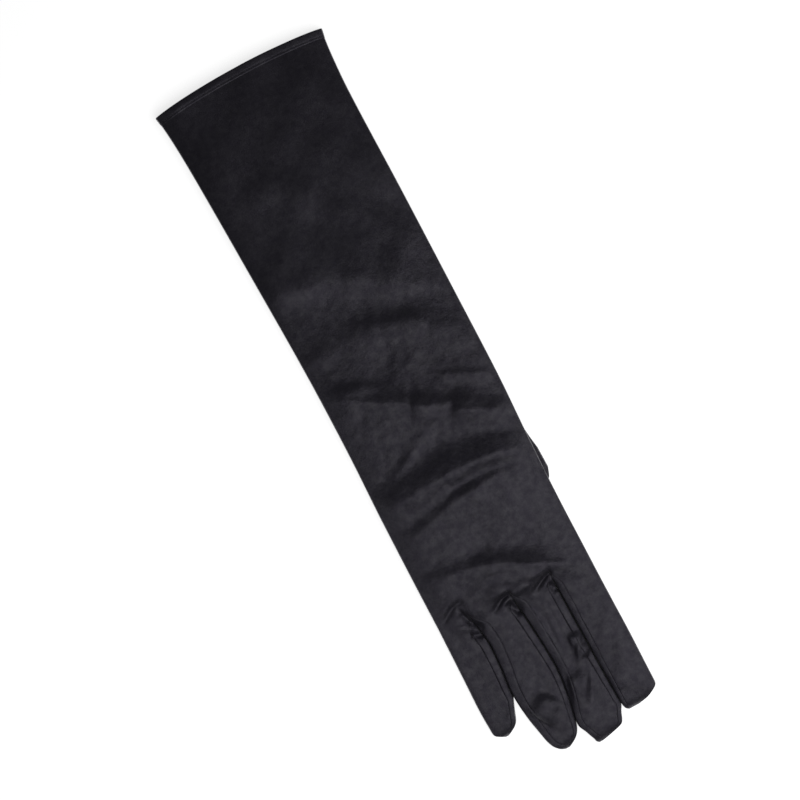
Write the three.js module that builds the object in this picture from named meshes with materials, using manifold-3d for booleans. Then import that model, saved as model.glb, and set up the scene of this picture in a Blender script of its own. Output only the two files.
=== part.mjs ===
// A long satin dress glove for the right hand. It lies flat with the back of the hand up and the thumb
// folded under the palm. +Y runs from the cuff to the fingertips, +X points to the little finger and
// +Z up. All sizes are in millimetres.
import * as THREE from "three";
import { mergeVertices } from "three/addons/utils/BufferGeometryUtils.js";
import Module from "manifold-3d";

const wasm = await Module();
wasm.setup();

// Cloth and seams
const CLOTH = 1; // wall of every piece of cloth
const HEM_CLOTH = 1.6; // wall of the hem, where the edge is turned in and lies double
const HEM_DEPTH = 7; // how far the hem reaches in from the cuff edge
const SEAM_GAP = 0.3; // clear space where one piece of cloth is sewn to the next
const FINGER_GAP = 0.8; // slit between two neighbouring fingers

// Plan of the glove
const SLEEVE_LENGTH = 293; // cuff edge to the crotches between the fingers
const HAND_LENGTH = 128; // wrist to the crotches
const CUFF_WIDTH = 94;
const WRIST_WIDTH = 85;
const HAND_WIDTH = 84;
const INDEX_LENGTH = 80; // each finger is measured from the crotches to its tip
const MIDDLE_LENGTH = 87.5;
const RING_LENGTH = 82.4;
const LITTLE_LENGTH = 62.8;
const TIP_ROUNDING = 16; // last stretch of a finger, where it narrows to its tip
const CUFF_BOW = 2.9; // how far the middle of the cuff edge stands out past its two corners

// Thickness of the glove as it lies
const EDGE_HOLLOW = 2.2; // room inside at the long edges, where the cloth bends over
const SLEEVE_SWELL = 4; // extra room in the middle of the sleeve and hand
const FINGER_SWELL = 4.2; // extra room in the middle of a finger
const FOLD_HEIGHT = 2; // height of the strongest fold of the upper side

// Strips between the fingers
const FOURCHETTE_WIDTH = 5; // how much of a finger's upper and lower side a strip covers
const FOURCHETTE_ROOT = 3; // how far the strip reaches into the hand behind the crotch
const FOURCHETTE_SPREAD = 14; // stretch over which the strip grows to its full width

// Thumb, lying across under the palm
const THUMB_PLACE = 241; // cuff edge to the place where the thumb's folded base stands out furthest
const THUMB_REACH = 67; // folded base to tip, measured across the hand
const THUMB_WIDTH = 46; // width of its base, measured along the hand
const THUMB_HOLLOW = 2.6; // room inside the middle of the thumb, which the palm presses flat
const THUMB_OVERHANG = 1.6; // how far the folded base stands out past the hand's edge
const THUMB_HOLE_PLACE = 17; // folded base to the middle of the hole that joins it to the palm
const THUMB_HOLE_WIDTH = 18;
const THUMB_HOLE_LENGTH = 27;
const PALM_RAMP = 44; // stretch over which the palm rises over the thumb and comes down again
const LITTLE_SIDE_DROP = 0.85; // share of its height that the palm loses past the thumb's tip

// How finely the cloth is divided
const FINGER_COLUMNS = 3;
const SIDE_ANGLES = [45, 0, -45];
const PLAIN_ROW = 22;
const FOLDED_ROW = 8.6;
const FINGER_ROWS = [0.03, 0.09, 0.18, 0.33, 0.5, 0.7];
const TIP_ROWS = [0, 0.25, 0.5, 0.7, 0.82, 0.93, 1];
const THUMB_BASE_ROWS = [0, 0.009, 0.02, 0.035, 0.057];
const THUMB_ROWS = [...THUMB_BASE_ROWS, 0.11, 0.19, 0.31, 0.43, 0.54, 0.64, 0.74, 0.83, 0.91, 0.96, 1];
const THUMB_COLUMNS = 7;

const EDGE_THICKNESS = EDGE_HOLLOW + 2 * CLOTH;
const THUMB_THICKNESS = THUMB_HOLLOW + 2 * CLOTH;
const PALM_LIFT = THUMB_THICKNESS + SEAM_GAP;
const CEILING = PALM_LIFT + EDGE_THICKNESS + SLEEVE_SWELL + FINGER_SWELL + FOLD_HEIGHT;

// Outline of the sleeve and hand. at: share of the sleeve's length; cuff, wrist and hand: shares of
// those three widths, added up; lean: how far the middle lies towards the little finger, in hand widths.
const SLEEVE_OUTLINE = [
  { at: 0, cuff: 1, wrist: 0, hand: 0, lean: -0.006 },
  { at: 0.05, cuff: 0.68, wrist: 0.32, hand: 0, lean: -0.005 },
  { at: 0.12, cuff: 0.45, wrist: 0.55, hand: 0, lean: -0.004 },
  { at: 0.31, cuff: 0.26, wrist: 0.74, hand: 0, lean: -0.008 },
  { at: 0.51, cuff: 0.05, wrist: 0.95, hand: 0, lean: -0.008 },
  { at: 0.66, cuff: 0, wrist: 1, hand: 0, lean: 0 },
  { at: 0.78, cuff: 0, wrist: 0.5, hand: 0.5, lean: 0.018 },
  { at: 0.89, cuff: 0, wrist: 0, hand: 1, lean: 0.03 },
  { at: 1, cuff: 0, wrist: 0, hand: 1, lean: 0.036 },
];

// Lines that part the fingers, as shares of the hand's width from its thumb side.
// at: share of the middle finger's length past the crotches.
const FINGER_LINES = [
  { at: 0, thumbSide: 0, indexMiddle: 0.258, middleRing: 0.526, ringLittle: 0.804, littleSide: 1 },
  { at: 0.18, thumbSide: 0.002, indexMiddle: 0.256, middleRing: 0.505, ringLittle: 0.771, littleSide: 1.006 },
  { at: 0.35, thumbSide: 0.003, indexMiddle: 0.255, middleRing: 0.492, ringLittle: 0.778, littleSide: 1.012 },
  { at: 0.52, thumbSide: 0.004, indexMiddle: 0.254, middleRing: 0.487, ringLittle: 0.796, littleSide: 1.018 },
  { at: 0.68, thumbSide: 0.008, indexMiddle: 0.253, middleRing: 0.507, ringLittle: 0.784, littleSide: 1.014 },
  { at: 0.85, thumbSide: 0.012, indexMiddle: 0.251, middleRing: 0.543, ringLittle: 0.752, littleSide: 1.01 },
  { at: 1, thumbSide: 0.012, indexMiddle: 0.251, middleRing: 0.55, ringLittle: 0.74, littleSide: 1.01 },
];
const LINES = ["thumbSide", "indexMiddle", "middleRing", "ringLittle", "littleSide"];

const FINGERS = [
  { name: "finger_index", length: INDEX_LENGTH, thumbward: "indexIn", littleward: "indexOut" },
  { name: "finger_middle", length: MIDDLE_LENGTH, thumbward: "middleIn", littleward: "middleOut" },
  { name: "finger_ring", length: RING_LENGTH, thumbward: "ringIn", littleward: "ringOut" },
  { name: "finger_little", length: LITTLE_LENGTH, thumbward: "littleIn", littleward: "littleOut" },
];

// How much of its width a finger has lost towards its tip, on its thumb side (In) and on its little
// finger's side (Out). at: share of the tip's rounding.
const LONG_TIPS = [
  { at: 0, indexIn: 0, indexOut: 0, middleIn: 0, middleOut: 0, ringIn: 0, ringOut: 0 },
  { at: 0.25, indexIn: 0, indexOut: 0, middleIn: 0, middleOut: 0.02, ringIn: 0, ringOut: 0 },
  { at: 0.5, indexIn: 0, indexOut: 0, middleIn: 0.08, middleOut: 0.1, ringIn: 0.01, ringOut: 0.01 },
  { at: 0.7, indexIn: 0.02, indexOut: 0, middleIn: 0.13, middleOut: 0.15, ringIn: 0.08, ringOut: 0.06 },
  { at: 0.82, indexIn: 0.15, indexOut: 0.01, middleIn: 0.2, middleOut: 0.18, ringIn: 0.18, ringOut: 0.13 },
  { at: 0.93, indexIn: 0.34, indexOut: 0.04, middleIn: 0.46, middleOut: 0.2, ringIn: 0.34, ringOut: 0.23 },
  { at: 1, indexIn: 0.6, indexOut: 0.1, middleIn: 0.66, middleOut: 0.24, ringIn: 0.47, ringOut: 0.36 },
];
const SHORT_TIPS = [
  { at: 0, littleIn: 0, littleOut: 0 },
  { at: 0.25, littleIn: 0.1, littleOut: 0 },
  { at: 0.5, littleIn: 0.2, littleOut: 0 },
  { at: 0.7, littleIn: 0.28, littleOut: 0 },
  { at: 0.82, littleIn: 0.37, littleOut: 0.03 },
  { at: 0.93, littleIn: 0.52, littleOut: 0.16 },
  { at: 1, littleIn: 0.64, littleOut: 0.26 },
];
const TIPS = LONG_TIPS.map((row, i) => ({ ...row, ...SHORT_TIPS[i] }));

// The strips sewn in between the fingers. thumbward and littleward: how much of the strip's width shows
// on the neighbour towards the thumb and on the one towards the little finger.
const FOURCHETTES = [
  { name: "fourchette_index_middle", line: 1, thumbward: 0.7, littleward: 0.95 },
  { name: "fourchette_middle_ring", line: 2, thumbward: 1, littleward: 0.9 },
  { name: "fourchette_ring_little", line: 3, thumbward: 1.15, littleward: 1 },
];

// Folds of the upper side. at: share of the sleeve's length; across: of the hand's width from its middle;
// turn: degrees from straight across; length and width: in hand widths; height: in fold heights.
const FOLDS = [
  { name: "forearm swell", at: 0.375, across: 0.14, turn: -18, length: 0.31, width: 0.08, height: 0.65 },
  { name: "dip after it", at: 0.474, across: -0.14, turn: -8, length: 0.19, width: 0.06, height: -0.4 },
  { name: "wrist arch", at: 0.498, across: -0.02, turn: 0, length: 0.17, width: 0.07, height: 0.6 },
  { name: "arch, thumb's side", at: 0.539, across: -0.31, turn: -38, length: 0.17, width: 0.07, height: 0.5 },
  { name: "wrist crease", at: 0.604, across: 0.21, turn: -32, length: 0.29, width: 0.045, height: 0.8 },
  { name: "edge crease", at: 0.635, across: -0.38, turn: -22, length: 0.12, width: 0.04, height: 0.5 },
  { name: "upper thumb fold", at: 0.695, across: -0.36, turn: -27, length: 0.15, width: 0.045, height: 0.6 },
  { name: "long thumb fold", at: 0.768, across: -0.14, turn: -4, length: 0.33, width: 0.055, height: 1 },
  { name: "lower thumb fold", at: 0.829, across: -0.05, turn: 8, length: 0.29, width: 0.07, height: 0.4 },
  { name: "knuckle ridge", at: 0.945, across: 0.05, turn: -24, length: 0.36, width: 0.05, height: 0.8 },
];

// Thumb from its folded base to its tip. at: share of its reach; middle: how far its middle line
// has moved towards the fingertips, in reaches; width: share of the base's width.
const THUMB_OUTLINE = [
  { at: 0, middle: 0.008, width: 0.24 },
  { at: 0.009, middle: -0.007, width: 0.35 },
  { at: 0.02, middle: -0.04, width: 0.53 },
  { at: 0.035, middle: -0.13, width: 0.87 },
  { at: 0.057, middle: -0.166, width: 1 },
  { at: 0.19, middle: -0.076, width: 0.92 },
  { at: 0.44, middle: 0.124, width: 0.86 },
  { at: 0.64, middle: 0.264, width: 0.754 },
  { at: 0.79, middle: 0.363, width: 0.663 },
  { at: 0.92, middle: 0.448, width: 0.435 },
  { at: 1, middle: 0.455, width: 0.2 },
];

const { abs, cos, exp, max, min, PI, sin, sqrt } = Math;
const radians = THREE.MathUtils.degToRad;
const smooth = THREE.MathUtils.smoothstep;

// A table's column at one place, on a smooth curve through its rows that stays level past both ends.
function read(table, column, at) {
  const last = table.length - 1;
  if (at <= table[0].at) return table[0][column];
  if (at >= table[last].at) return table[last][column];
  const slope = (row) => {
    const before = table[max(row - 1, 0)];
    const after = table[min(row + 1, last)];
    return (after[column] - before[column]) / (after.at - before.at);
  };
  const row = table.findIndex((entry) => entry.at > at) - 1;
  const [from, to] = [table[row], table[row + 1]];
  const span = to.at - from.at;
  const t = (at - from.at) / span;
  const start = from[column] * (2 * t ** 3 - 3 * t ** 2 + 1) + slope(row) * span * (t ** 3 - 2 * t ** 2 + t);
  const end = to[column] * (3 * t ** 2 - 2 * t ** 3) + slope(row + 1) * span * (t ** 3 - t ** 2);
  return start + end;
}

// Where the glove's two edges and the three lines between the fingers lie, y millimetres from the cuff.
function linesAt(y) {
  const along = y / SLEEVE_LENGTH;
  const share = (column) => read(SLEEVE_OUTLINE, column, along);
  const width = share("cuff") * CUFF_WIDTH + share("wrist") * WRIST_WIDTH + share("hand") * HAND_WIDTH;
  const thumbSide = share("lean") * HAND_WIDTH - width / 2;
  const pastCrotch = (y - SLEEVE_LENGTH) / MIDDLE_LENGTH;
  return LINES.map((line) => thumbSide + read(FINGER_LINES, line, pastCrotch) * width);
}

// The thumb's folded base stands out past the hand's edge, and the thumb lies across from there.
const THUMB_BASE = linesAt(THUMB_PLACE)[0] - THUMB_OVERHANG;
const thumbMiddle = (at) => THUMB_PLACE + read(THUMB_OUTLINE, "middle", at) * THUMB_REACH;
const thumbWidth = (at) => read(THUMB_OUTLINE, "width", at) * THUMB_WIDTH;
const THUMB_CUFF_SIDE = thumbMiddle(0.057) - thumbWidth(0.057) / 2;
const THUMB_FINGER_SIDE = thumbMiddle(0.79) + thumbWidth(0.79) / 2;

// Height of the glove's underside: flat on the surface, and raised where the palm lies on the thumb.
function under(x, y) {
  const rise = smooth(y, THUMB_CUFF_SIDE - PALM_RAMP, THUMB_CUFF_SIDE);
  const fall = 1 - smooth(y, THUMB_FINGER_SIDE, THUMB_FINGER_SIDE + PALM_RAMP);
  const pastTip = smooth(x, THUMB_BASE + THUMB_REACH, THUMB_BASE + THUMB_REACH + HAND_WIDTH / 4);
  return PALM_LIFT * rise * fall * (1 - LITTLE_SIDE_DROP * pastTip);
}

// Height that the folds add to the upper side. A fold is a smooth ridge that dies out at its ends.
function folds(x, y) {
  return FOLDS.reduce((sum, fold) => {
    const [dx, dy] = [x - fold.across * HAND_WIDTH, y - fold.at * SLEEVE_LENGTH];
    const turn = radians(fold.turn);
    const lengthwise = (dx * cos(turn) + dy * sin(turn)) / (fold.length * HAND_WIDTH);
    const sideways = (dy * cos(turn) - dx * sin(turn)) / (fold.width * HAND_WIDTH);
    return sum + fold.height * FOLD_HEIGHT * exp(-(sideways ** 2) - lengthwise ** 4);
  }, 0);
}

// How much the upper side swells above its edges, 0 to 1 across the hand, and then across each finger.
function swell(x, y) {
  const lines = linesAt(y);
  const level = (from, to, power) => 1 - min(abs((2 * x - from - to) / (to - from)), 1) ** power;
  const finger = max(lines.findIndex((line) => line > x), 1) - 1;
  const parted = smooth(y, SLEEVE_LENGTH - FOURCHETTE_SPREAD, SLEEVE_LENGTH + FOURCHETTE_SPREAD);
  const hand = SLEEVE_SWELL * level(lines[0], lines[4], 4);
  const fingers = FINGER_SWELL * level(lines[finger], lines[finger + 1], 2.5);
  return hand * (1 - parted) + fingers * parted;
}

// Height of the upper side. The folds die out at the glove's long edges and at the crotches.
function over(x, y) {
  const lines = linesAt(y);
  const inFromEdge = min(x - lines[0], lines[4] - x) / EDGE_THICKNESS;
  const fade = smooth(inFromEdge, 0, 1) * (1 - smooth(y, SLEEVE_LENGTH - FOURCHETTE_SPREAD, SLEEVE_LENGTH));
  return under(x, y) + EDGE_THICKNESS + swell(x, y) + folds(x, y) * fade;
}

// A half-round side of a cloth tube, from its upper to its lower side, as [across, height] pairs.
// outward is -1 or 1, and bend is the depth of the rounding.
function side(edge, outward, bend, high, low) {
  return SIDE_ANGLES.map((angle) => {
    const turn = radians(angle);
    return [edge - outward * bend * (1 - cos(turn)), (high + low) / 2 + ((high - low) / 2) * sin(turn)];
  });
}

// The crotches of the glove's inner surface lie a little nearer the cuff, so that cloth is left between.
const crotch = (inset) => SLEEVE_LENGTH - 2 * inset;

// How far the cuff edge, and the cloth just behind it, is bowed out at one place.
const bow = (x, y) => CUFF_BOW * (1 - ((2 * x) / CUFF_WIDTH) ** 2) * (1 - smooth(y, 0, CUFF_WIDTH / 2));

// Cross-section of one finger, or of the quarter of the hand that leads to it, y millimetres from the cuff.
// inset is 0 on the glove's outer surface and the cloth's thickness on its inner one.
function fingerRing(finger, y, inset) {
  const lines = linesAt(y);
  const { length, thumbward, littleward } = FINGERS[finger];
  const tipShare = max(0, 1 - (SLEEVE_LENGTH + length - inset - y) / TIP_ROUNDING);
  const flatness = sqrt(1 - 0.94 * tipShare ** 4);
  const opened = smooth(y, crotch(inset), crotch(inset) + FOURCHETTE_SPREAD / 3);
  const rounded = smooth(y, crotch(inset), crotch(inset) + FOURCHETTE_SPREAD);
  const sideGap = (line) => (line === 0 || line === 4 ? inset : (FINGER_GAP / 2 + inset) * opened);
  const sideBend = (line) => (EDGE_THICKNESS / 2 - inset) * (line === 0 || line === 4 ? 1 : rounded);
  const fromLine = lines[finger] + sideGap(finger);
  const toLine = lines[finger + 1] - sideGap(finger + 1);
  const from = fromLine + read(TIPS, thumbward, tipShare) * (toLine - fromLine);
  const to = toLine - read(TIPS, littleward, tipShare) * (toLine - fromLine);
  const widest = (to - from) / 2.5;
  const fromBend = min(sideBend(finger) * flatness, widest);
  const toBend = min(sideBend(finger + 1) * flatness, widest);

  const flatten = (x, height) => {
    const level = under(x, y) + EDGE_THICKNESS / 2;
    return level + (height - level) * flatness;
  };
  const high = (x) => flatten(x, over(x, y) - inset);
  const low = (x) => flatten(x, under(x, y) + inset);
  const across = Array.from({ length: FINGER_COLUMNS + 1 }, (_, column) =>
    THREE.MathUtils.lerp(from + fromBend, to - toBend, column / FINGER_COLUMNS));
  const place = ([x, z]) => new THREE.Vector3(x, y - bow(x, y), z);
  const [first, last] = [across[0], across[FINGER_COLUMNS]];
  return {
    top: across.map((x) => place([x, high(x)])),
    bottom: across.map((x) => place([x, low(x)])),
    left: side(from, -1, fromBend, high(first), low(first)).map(place),
    right: side(to, 1, toBend, high(last), low(last)).map(place),
  };
}

// Cross-section of the sleeve or hand: the four quarters that lead to the fingers, side by side.
function handRing(y, inset) {
  const quarters = FINGERS.map((_, finger) => fingerRing(finger, y, inset));
  const joined = (part) => quarters.flatMap((ring, finger) => ring[part].slice(finger === 0 ? 0 : 1));
  return { top: joined("top"), bottom: joined("bottom"), left: quarters[0].left, right: quarters[3].right };
}

// Triangles of a closed skin are collected as a flat list of corners.
const quad = (a, b, c, d) => [a, b, c, a, c, d];

// The skin between two cross-sections with as many points each.
function skin(near, far) {
  const loop = (ring) => [...ring.top, ...ring.right, ...ring.bottom.toReversed(), ...ring.left.toReversed()];
  const [a, b] = [loop(near), loop(far)];
  return a.flatMap((point, i) => {
    const next = (i + 1) % a.length;
    return quad(point, a[next], b[next], b[i]);
  });
}

// The flat end of a tube, facing back towards where the tube comes from.
function cap(ring) {
  const panel = ring.top.slice(1).flatMap((point, i) =>
    quad(ring.top[i], ring.bottom[i], ring.bottom[i + 1], point));
  const corner = (points, high, low) => [...quad(high, points[0], points[2], low), ...points];
  return [
    ...panel,
    ...corner(ring.right, ring.top.at(-1), ring.bottom.at(-1)).toReversed(),
    ...corner(ring.left, ring.top[0], ring.bottom[0]),
  ];
}

// A geometry from corners, with the corners that coincide merged.
function closedGeometry(corners) {
  const points = new THREE.BufferGeometry().setFromPoints(corners);
  return mergeVertices(points, 1e-4);
}

// A closed geometry as a solid that can be cut and joined.
function solidOf(geometry) {
  const bare = geometry.clone().deleteAttribute("normal").deleteAttribute("uv");
  const merged = mergeVertices(bare, 1e-4);
  return new wasm.Manifold(new wasm.Mesh({
    numProp: 3,
    vertProperties: merged.getAttribute("position").array,
    triVerts: new Uint32Array(merged.index.array),
  }));
}

// The glove without its thumb as one solid: sleeve, hand and four fingers. start is the y of its open end.
function gloveSolid(inset, start) {
  const end = crotch(inset);
  const foldsBegin = 0.3 * SLEEVE_LENGTH;
  const rows = [];
  for (let y = start; y < foldsBegin; y += PLAIN_ROW) rows.push(handRing(y, inset));
  for (let y = foldsBegin; y < end - FOLDED_ROW / 2; y += FOLDED_ROW) rows.push(handRing(y, inset));
  rows.push(handRing(end, inset));
  const corners = [...cap(rows[0]), ...rows.slice(1).flatMap((ring, i) => skin(rows[i], ring))];

  FINGERS.forEach(({ length }, finger) => {
    const tip = SLEEVE_LENGTH + length - inset;
    const straight = tip - TIP_ROUNDING - end;
    const places = [
      end,
      ...FINGER_ROWS.map((share) => end + share * straight),
      ...TIP_ROWS.map((share) => tip - TIP_ROUNDING * (1 - share)),
    ];
    const rings = places.map((y) => fingerRing(finger, y, inset));
    corners.push(...rings.slice(1).flatMap((ring, i) => skin(rings[i], ring)));
    corners.push(...cap(rings.at(-1)).toReversed());
  });
  return solidOf(closedGeometry(corners));
}

// An upright prism over a closed outline of [x, y] points.
function prism(outline, from, to) {
  const shape = new THREE.Shape(outline.map(([x, y]) => new THREE.Vector2(x, y)));
  const geometry = new THREE.ExtrudeGeometry(shape, { depth: to - from, bevelEnabled: false });
  return solidOf(geometry.translate(0, 0, from));
}

// Plan of the strip between two fingers: it starts behind the crotch, spreads over the facing sides of
// both fingers and runs out at their tips. grow widens it all round.
function fourchettePlan({ line, thumbward, littleward }, grow) {
  const root = SLEEVE_LENGTH - FOURCHETTE_ROOT - grow;
  const border = (finger, outward, share) => {
    const tip = SLEEVE_LENGTH + FINGERS[finger].length;
    const end = tip - TIP_ROUNDING * 0.3;
    const column = outward < 0 ? FINGERS[finger].littleward : FINGERS[finger].thumbward;
    const steps = 9;
    return Array.from({ length: steps + 1 }, (_, step) => {
      const y = THREE.MathUtils.lerp(root, end, step / steps);
      const spread = 0.5 + 0.5 * smooth(y, root, root + FOURCHETTE_SPREAD);
      const slim = 1 - 0.4 * smooth(y, root + FOURCHETTE_SPREAD, end);
      const lines = linesAt(y);
      const tipShare = max(0, 1 - (tip - y) / TIP_ROUNDING);
      const lost = read(TIPS, column, tipShare) * (lines[finger + 1] - lines[finger]);
      const reach = FOURCHETTE_WIDTH * share * spread * slim + FINGER_GAP / 2 + lost + grow;
      return [lines[line] + outward * reach, y];
    });
  };
  const towardsThumb = border(line - 1, -1, thumbward);
  const towardsLittle = border(line, 1, littleward);
  const furthest = max(towardsThumb.at(-1)[1], towardsLittle.at(-1)[1]);
  const past = [linesAt(furthest)[line], furthest];
  return [...towardsThumb, past, ...towardsLittle.toReversed()];
}

// Plan of everything that belongs to one finger: from where the strips start to past its tip.
function fingerPlan(finger) {
  const root = SLEEVE_LENGTH - FOURCHETTE_ROOT + SEAM_GAP / 2;
  const steps = 8;
  const border = (line) => Array.from({ length: steps + 1 }, (_, step) => {
    const y = root + ((MIDDLE_LENGTH + 2 * FOURCHETTE_ROOT) * step) / steps;
    const outside = { 0: -THUMB_OVERHANG, 4: THUMB_OVERHANG }[line] ?? 0;
    return [linesAt(y)[line] + outside, y];
  });
  return [...border(finger + 1), ...border(finger).toReversed()];
}

// The thumb as one solid, with sections across the hand from its folded base to its tip.
function thumbSolid(inset) {
  const reach = THUMB_REACH - 2 * inset;
  const rings = THUMB_ROWS.map((share) => {
    const x = THUMB_BASE + inset + share * reach;
    const at = (x - THUMB_BASE) / THUMB_REACH;
    const fromBase = min(1, (share * reach) / (THUMB_THICKNESS / 2));
    const fromTip = min(1, ((1 - share) * reach) / (TIP_ROUNDING / 2));
    const flat = sqrt(1 - 0.94 * (1 - fromBase) ** 2) * sqrt(1 - 0.94 * (1 - fromTip) ** 2);
    const half = thumbWidth(at) / 2 - inset;
    const bend = min(EDGE_THICKNESS / 2 - inset, half) * flat;
    const height = (y) => {
      const level = (y - thumbMiddle(at)) / half;
      return EDGE_THICKNESS + (THUMB_HOLLOW - EDGE_HOLLOW) * (1 - level ** 4) - inset;
    };
    const settle = (z) => EDGE_THICKNESS / 2 + (z - EDGE_THICKNESS / 2) * flat;
    const [from, to] = [thumbMiddle(at) - half, thumbMiddle(at) + half];
    const across = Array.from({ length: THUMB_COLUMNS + 1 }, (_, column) =>
      THREE.MathUtils.lerp(to - bend, from + bend, column / THUMB_COLUMNS));
    const place = ([y, z]) => new THREE.Vector3(x, y, z);
    const high = (y) => settle(height(y));
    return {
      top: across.map((y) => place([y, high(y)])),
      bottom: across.map((y) => place([y, settle(inset)])),
      left: side(to, 1, bend, high(to - bend), settle(inset)).map(place),
      right: side(from, -1, bend, high(from + bend), settle(inset)).map(place),
    };
  });
  const corners = [
    ...cap(rings[0]),
    ...rings.slice(1).flatMap((ring, i) => skin(rings[i], ring)),
    ...cap(rings.at(-1)).toReversed(),
  ];
  return solidOf(closedGeometry(corners));
}

// The collar that joins the thumb to the hole in the palm, as an upright oval column.
function thumbCollar(grow, from, to) {
  const at = THUMB_HOLE_PLACE / THUMB_REACH;
  const [x, y] = [THUMB_BASE + THUMB_HOLE_PLACE, thumbMiddle(at)];
  const outline = Array.from({ length: 20 }, (_, i) => {
    const turn = (2 * PI * i) / 20;
    return [
      x + (THUMB_HOLE_WIDTH / 2 + grow) * cos(turn),
      y + (THUMB_HOLE_LENGTH / 2 + grow) * sin(turn),
    ];
  });
  return prism(outline, from, to);
}

const satin = new THREE.MeshStandardMaterial({ color: 0x26262a, roughness: 0.42, metalness: 0 });
const strip = new THREE.MeshStandardMaterial({ color: 0x222226, roughness: 0.48, metalness: 0 });

// A named mesh from a finished solid.
function piece(name, solid, material) {
  const { vertProperties, triVerts } = solid.getMesh();
  const geometry = new THREE.BufferGeometry();
  geometry.setAttribute("position", new THREE.BufferAttribute(vertProperties, 3));
  geometry.setIndex(new THREE.BufferAttribute(triVerts, 1));
  geometry.computeVertexNormals();
  const mesh = new THREE.Mesh(geometry, material);
  mesh.name = name;
  return mesh;
}

// Everything that lies nearer the cuff edge than y, as a block that covers the glove's thickness.
function cuffBlock(y) {
  const steps = 10;
  const half = CUFF_WIDTH * 0.52;
  const edge = Array.from({ length: steps + 1 }, (_, step) => {
    const x = half - (2 * half * step) / steps;
    return [x, y - bow(x, y)];
  });
  return prism([[-half, -CUFF_WIDTH], [half, -CUFF_WIDTH], ...edge], -CLOTH, CEILING);
}

const outer = gloveSolid(0, 0);
const shell = outer.subtract(gloveSolid(CLOTH, -HEM_DEPTH));

const glove = new THREE.Group();

let cloth = shell.subtract(cuffBlock(HEM_DEPTH + SEAM_GAP));
FOURCHETTES.forEach((fourchette) => {
  cloth = cloth.subtract(prism(fourchettePlan(fourchette, SEAM_GAP / 2), -CLOTH, CEILING));
  const between = prism(fourchettePlan(fourchette, -SEAM_GAP / 2), -CLOTH, CEILING);
  glove.add(piece(fourchette.name, shell.intersect(between), strip));
});
FINGERS.forEach(({ name }, finger) => {
  glove.add(piece(name, cloth.intersect(prism(fingerPlan(finger), -CLOTH, CEILING)), satin));
});

// The cloth between two places along the glove.
function stretch(from, to) {
  const plan = [[-CUFF_WIDTH, from], [CUFF_WIDTH, from], [CUFF_WIDTH, to], [-CUFF_WIDTH, to]];
  return cloth.intersect(prism(plan, -CLOTH, CEILING));
}

const wrist = SLEEVE_LENGTH - HAND_LENGTH;
const hand = stretch(wrist + SEAM_GAP / 2, SLEEVE_LENGTH - FOURCHETTE_ROOT - SEAM_GAP / 2);
const thumbHole = thumbCollar(SEAM_GAP, PALM_LIFT - CLOTH, PALM_LIFT + 1.5 * CLOTH);
glove.add(piece("sleeve", stretch(-CUFF_WIDTH, wrist - SEAM_GAP / 2), satin));
glove.add(piece("hand", hand.subtract(thumbHole), satin));

const hem = outer.intersect(cuffBlock(HEM_DEPTH)).subtract(gloveSolid(HEM_CLOTH, -HEM_DEPTH));
glove.add(piece("cuff_hem", hem, satin));

const collar = thumbCollar(0, EDGE_THICKNESS / 2, PALM_LIFT + CLOTH);
const collarHollow = thumbCollar(-CLOTH, EDGE_THICKNESS / 2, PALM_LIFT + 2 * CLOTH);
const thumb = thumbSolid(0).add(collar).subtract(thumbSolid(CLOTH)).subtract(collarHollow);
glove.add(piece("thumb", thumb, satin));

// The part's origin is the middle of the surface that it lies on.
const box = new THREE.Box3().setFromObject(glove);
const centre = box.getCenter(new THREE.Vector3());
glove.position.set(-centre.x, -centre.y, -box.min.z);

export default glove;
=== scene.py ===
# %% [markdown]
# # A long satin dress glove, lying flat
# The glove is two layers of thin stretch satin, sewn into a sleeve, a hand and four fingers, with the thumb
# folded under the palm. It could be sculpted, or laid on a table by a cloth simulation. Here each layer is a
# height over the table, worked out on grids, and the folds are ridges that are added to those heights. That
# was chosen because each fold can then be put in its place by changing one row of a table.

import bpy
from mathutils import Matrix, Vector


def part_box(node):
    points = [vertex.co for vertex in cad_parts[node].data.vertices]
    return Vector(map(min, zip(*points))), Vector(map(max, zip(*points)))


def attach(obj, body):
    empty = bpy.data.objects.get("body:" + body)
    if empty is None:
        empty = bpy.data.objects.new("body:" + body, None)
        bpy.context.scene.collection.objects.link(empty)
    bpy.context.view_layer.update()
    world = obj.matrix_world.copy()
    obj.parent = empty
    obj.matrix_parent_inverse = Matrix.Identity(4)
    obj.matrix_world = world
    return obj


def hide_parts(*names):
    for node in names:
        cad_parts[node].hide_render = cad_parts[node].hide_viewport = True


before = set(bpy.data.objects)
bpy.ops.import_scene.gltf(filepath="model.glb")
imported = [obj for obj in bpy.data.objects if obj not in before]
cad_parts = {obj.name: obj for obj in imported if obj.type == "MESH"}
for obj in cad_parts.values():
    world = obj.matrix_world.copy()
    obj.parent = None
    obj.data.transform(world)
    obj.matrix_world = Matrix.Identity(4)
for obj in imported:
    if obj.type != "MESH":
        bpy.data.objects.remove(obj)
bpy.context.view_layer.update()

import math

import bmesh
import bpy
import numpy as np
from mathutils import Matrix

MM = 0.001

# %% [markdown]
# ## The named sizes
# All sizes are in millimetres in the glove's own frame: y runs from the cuff to the fingertips, x points to
# the little finger and z up. They are the sizes of the solid glove, so that the satin lies where it does.
# Two differ: the long edges of the hand and the fingers stand higher, and the thumb's fold stands out
# 0.7 mm further.

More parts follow.
